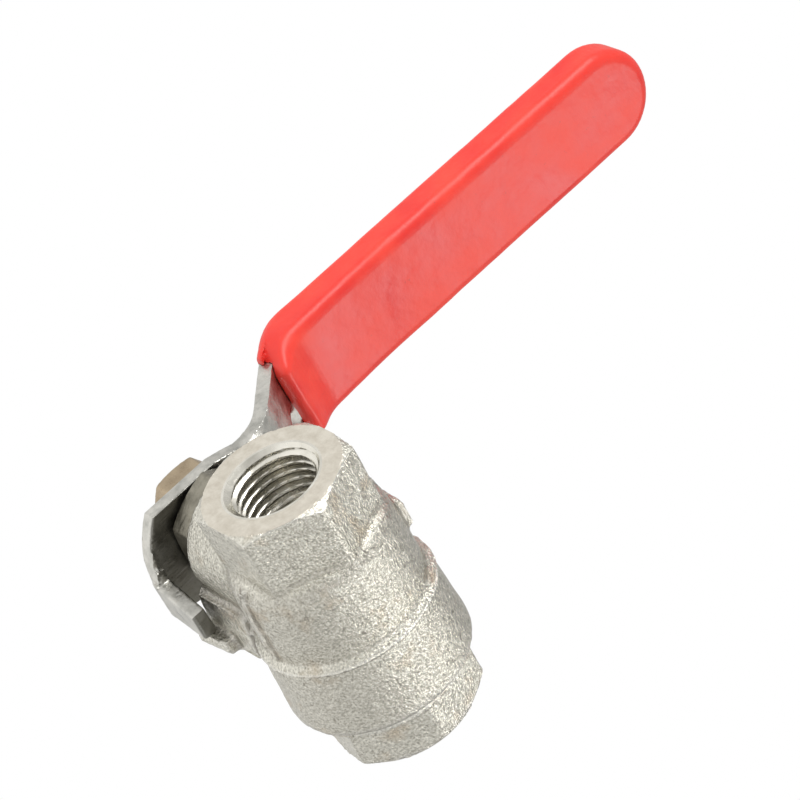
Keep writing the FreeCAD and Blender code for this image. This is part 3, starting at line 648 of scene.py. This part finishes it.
def sleeve(p):
    """The grip: a skin about the strap, thinner on its top and one side where it starts at the bend."""
    x, y, z = p.T
    away = to_path(y, z, STRAP)
    middle = np.interp(y, *zip(*STRAP[1:]))
    rag = 0.12 * noise(np.stack([x, 0 * x, 0 * x], 1), 2.2, 5)
    on_rise = (y - RISE_START[0]) * RISE[0] + (z - RISE_START[1]) * RISE[1]
    mouth = MOUTH_CUT - y + rag + 0.25 * smooth(-x, 0.0, 4.0)
    below = z < middle
    under_wall = 2.25 + 0.8 * (1.0 - smooth(y, 22.0, 40.0))
    top_wall = 0.4 + 1.85 * smooth(on_rise, 1.9, 10.4)
    face_wall = np.where(below, under_wall, top_wall)
    side_wall = 1.4 - np.where(x > 0, 0.8 - 0.8 * smooth(on_rise, -1.0, 5.0), 0.0)
    corner = np.where(below, 2.0, np.minimum(1.7, HALF_SHEET + face_wall))
    a = away - (HALF_SHEET + face_wall - corner)
    b = polygon(x, y, SLEEVE_OUTER) - (side_wall - corner)
    skin = np.hypot(np.maximum(a, 0), np.maximum(b, 0)) + np.minimum(np.maximum(a, b), 0) - corner
    skin = np.where(below, both(skin, mouth, k=3.8), both(skin, mouth, k=0.3))
    filled = np.maximum(away - HALF_SHEET, polygon(x, y, SLEEVE_PLAN))
    return both(skin, -(filled - 0.01))


def lever_grime(points, normal):
    """How much painted shade each point gets, from 0 to 1: under the hub and on the stop tab's inner face."""
    y, z = points[:, 1], points[:, 2]
    hub = np.clip(-normal[:, 2], 0, 1) * smooth(-y, -11.0, -5.0)
    on_tab = smooth(y, -12.6, -11.4) * (z < 26.3) * (y < -8) * np.clip(normal[:, 1], 0, 1)
    return 0.75 * np.clip(hub + on_tab, 0, 1)


def lever_piece():
    points, quads = contoured(lever, (-14.8, -14.8, 16.3), (8.1, 95.0, 41.8), FINE * 1.2)
    normal, edge, _ = bend_marks(lever, points, 0.5)
    waves = 0.02 * noise(points, 1.5, 7) + 0.012 * noise(points, 0.6, 8) - 0.03
    points = points + normal * waves[:, None]
    piece("lever_strap", points, quads, "lever_steel", "handle", ("lever",), edge=edge,
          grime=lever_grime(points, normal))


def sleeve_piece():
    points, quads = contoured(sleeve, (-8.2, 16.4, 31.0), (8.2, 96.2, 44.0), FINE * 1.25)
    waves = 0.07 * noise(points, 7.0, 9) + 0.02 * noise(points, 2.0, 10) - 0.09
    points = points + slope(sleeve, points) * waves[:, None]
    piece("grip_sleeve", points, quads, "red_vinyl", "handle", ("lever_sleeve",), sharp=50)


lever_piece()
sleeve_piece()


# ---- nuts and washer --------------------------------------------------------------------------------

WASHER_BOTTOM, NUT_BOTTOM, NUT_TOP = 28.6, 29.6, 34.6
NUT_FACE_RADIUS = 5.3
GLAND_TOP = 25.8


def lever_nut(p):
    """The hexagon nut on the stem, chamfered on both faces."""
    x, y, z = p.T
    r = np.hypot(x, y)
    d = both(hexagon(x, y, 11.0, 0, k=0.25), slab(z, NUT_BOTTOM, NUT_TOP), k=0.15)
    for out, level in ((1, NUT_TOP), (-1, NUT_BOTTOM)):
        d = both(d, 0.5 * (r - NUT_FACE_RADIUS) + 0.866 * out * (z - level), k=0.1)
    return both(d, 3.0 - r)


def gland_nut(p):
    """The hexagon nut on the boss, with the neck that reaches down to the packing."""
    x, y, z = p.T
    r = np.hypot(x, y)
    d = both(hexagon(x, y, 15.0, 33.5, k=0.35), slab(z, BOSS_TOP, GLAND_TOP), k=0.15)
    d = both(d, 0.5 * (r - 7.4) + 0.866 * (z - GLAND_TOP), k=0.1)
    neck = both(r - 4.95, slab(z, 16.7, 21.0))
    return both(either(d, neck), STEM_RADIUS - r)


def lock_washer(p):
    """A ring with one slanted split."""
    x, y, z = p.T
    r = np.hypot(x, y)
    ring = both(r - NUT_FACE_RADIUS, 3.15 - r, slab(z, WASHER_BOTTOM, NUT_BOTTOM), k=0.15)
    split = both(np.abs(y - 0.2 * (z - 29.1)) - 0.4, -x)
    return both(ring, -split)


def small_piece(name, field, low, high, node, body, material):
    """A nut's or washer's piece, with a trace of unevenness."""
    points, quads = contoured(field, low, high, min(FINE, 0.2))
    normal, edge, _ = bend_marks(field, points, 0.4)
    points = points + normal * (0.012 * noise(points, 0.9, 11) - 0.012)[:, None]
    piece(name, points, quads, material, body, (node,), edge=edge)


small_piece("lever_nut_hex", lever_nut, (-7, -7, 29.0), (7, 7, 35.2), "lever_nut", "handle", "nut_steel")
small_piece("gland_nut_hex", gland_nut, (-9.2, -9.2, 16.2), (9.2, 9.2, 26.4), "gland_nut", "valve",
            "gland_nickel")
small_piece("split_washer", lock_washer, (-5.9, -5.9, 28.2), (5.9, 5.9, 30.0), "lock_washer", "handle",
            "nut_steel")

# Each CAD node takes its slot's material. The ones that no piece replaces are seen with it.
SLOTS = {entry["node"]: entry["material_slot"] for entry in frame["record"]["subparts"]}
for node, obj in frame["nodes"].items():
    obj.data.materials.clear()
    obj.data.materials.append(MATERIALS[SLOTS[node]])


# ---- stage, lights and camera -----------------------------------------------------------------------

# The camera's axes and place, the point the lights aim at and the object's middle, in metres.
RIGHT, UP = Vector((-0.4032, 0.7036, -0.5851)), Vector((0.7124, 0.6427, 0.2820))
BACK = RIGHT.cross(UP)
CAMERA_PLACE = Vector((0.28074, -0.12952, -0.37762))
LIT_POINT = Vector((-0.02, 0.02, 0.012))
MIDDLE = Vector((-0.02, 0.03, 0.01))
FLOOR_REACH, FLOOR_LEVEL = 1.6, -0.0143


def seen(right, up, back):
    """A place given as the camera sees it, in metres from the object's middle."""
    return tuple(MIDDLE + RIGHT * right + UP * up + BACK * back)


def area_light(name, place, size, watts, colour=(1, 1, 1)):
    """A square area light that faces the lit point."""
    light = bpy.data.lights.new(name, "AREA")
    light.energy, light.color = watts, colour
    light.shape = "RECTANGLE"
    light.size, light.size_y = size, size
    obj = bpy.data.objects.new(name, light)
    bpy.context.scene.collection.objects.link(obj)
    obj.location = place
    obj.rotation_euler = (Vector(place) - LIT_POINT).to_track_quat("Z", "Y").to_euler()


def pale_floor():
    """Matt from above and clear from below, because the camera looks up from under the floor."""
    m = Nodes("pale_floor")
    m.finish(Base_Color=(0.86, 0.86, 0.85), Roughness=0.9)
    faced = m.add("ShaderNodeMixShader")
    m.put(faced, 0, m.add("ShaderNodeNewGeometry").outputs["Backfacing"])
    m.put(faced, 1, m.shader.outputs[0])
    m.put(faced, 2, m.add("ShaderNodeBsdfTransparent").outputs[0])
    m.put(m.tree.nodes["Material Output"], "Surface", faced.outputs[0])
    return m.material


def add_floor():
    """A floor just under the valve that casts nothing and reflects in nothing."""
    mesh = bpy.data.meshes.new("floor")
    far, level = FLOOR_REACH, FLOOR_LEVEL
    mesh.from_pydata([(-far, -far, level), (far, -far, level), (far, far, level), (-far, far, level)],
                     [], [(0, 1, 2, 3)])
    mesh.materials.append(pale_floor())
    floor = bpy.data.objects.new("floor", mesh)
    bpy.context.scene.collection.objects.link(floor)
    floor.visible_shadow = floor.visible_diffuse = False
    floor.visible_glossy = floor.visible_transmission = False


def add_sky():
    """A soft sky that is brighter on the camera's left, and plain white where the camera sees it."""
    world = bpy.data.worlds.new("studio")
    bpy.context.scene.world = world
    world.use_nodes = True
    links, nodes = world.node_tree.links, world.node_tree.nodes
    soft, white = nodes["Background"], nodes.new("ShaderNodeBackground")
    soft.inputs["Color"].default_value = (1.0, 0.99, 0.965, 1.0)
    white.inputs["Color"].default_value = (1.0, 1.0, 1.0, 1.0)
    white.inputs["Strength"].default_value = 1.0
    rightness = nodes.new("ShaderNodeVectorMath")
    rightness.operation = "DOT_PRODUCT"
    rightness.inputs[1].default_value = RIGHT
    links.new(nodes.new("ShaderNodeTexCoord").outputs["Generated"], rightness.inputs[0])
    strength = nodes.new("ShaderNodeMapRange")
    for key, value in (("From Min", 0.0), ("From Max", -1.0), ("To Min", 0.56), ("To Max", 1.05)):
        strength.inputs[key].default_value = value
    links.new(rightness.outputs["Value"], strength.inputs["Value"])
    links.new(strength.outputs["Result"], soft.inputs["Strength"])
    chosen = nodes.new("ShaderNodeMixShader")
    links.new(nodes.new("ShaderNodeLightPath").outputs["Is Camera Ray"], chosen.inputs[0])
    links.new(soft.outputs[0], chosen.inputs[1])
    links.new(white.outputs[0], chosen.inputs[2])
    links.new(chosen.outputs[0], nodes["World Output"].inputs["Surface"])


def add_camera():
    """The camera the photograph was matched with."""
    camera = bpy.data.objects.new("camera", bpy.data.cameras.new("camera"))
    camera.data.lens, camera.data.sensor_width = 170.0, 36.0
    camera.data.clip_start, camera.data.clip_end = 0.05, 10.0
    bpy.context.scene.collection.objects.link(camera)
    turn = Matrix((RIGHT, UP, BACK)).transposed().to_4x4()
    camera.matrix_world = Matrix.Translation(CAMERA_PLACE) @ turn
    bpy.context.scene.camera = camera


area_light("key", seen(0.47, -0.16, 0.03), 0.13, 0.55, (1.0, 0.985, 0.96))
area_light("side", seen(0.40, -0.08, 0.30), 0.22, 0.25)
area_light("top", seen(0.0, 0.45, 0.22), 0.22, 1.4, (1.0, 0.99, 0.97))
area_light("low", seen(0.25, -0.33, 0.28), 0.20, 0.2)
add_floor()
add_sky()
add_camera()
bpy.context.scene.view_settings.view_transform = "Standard"
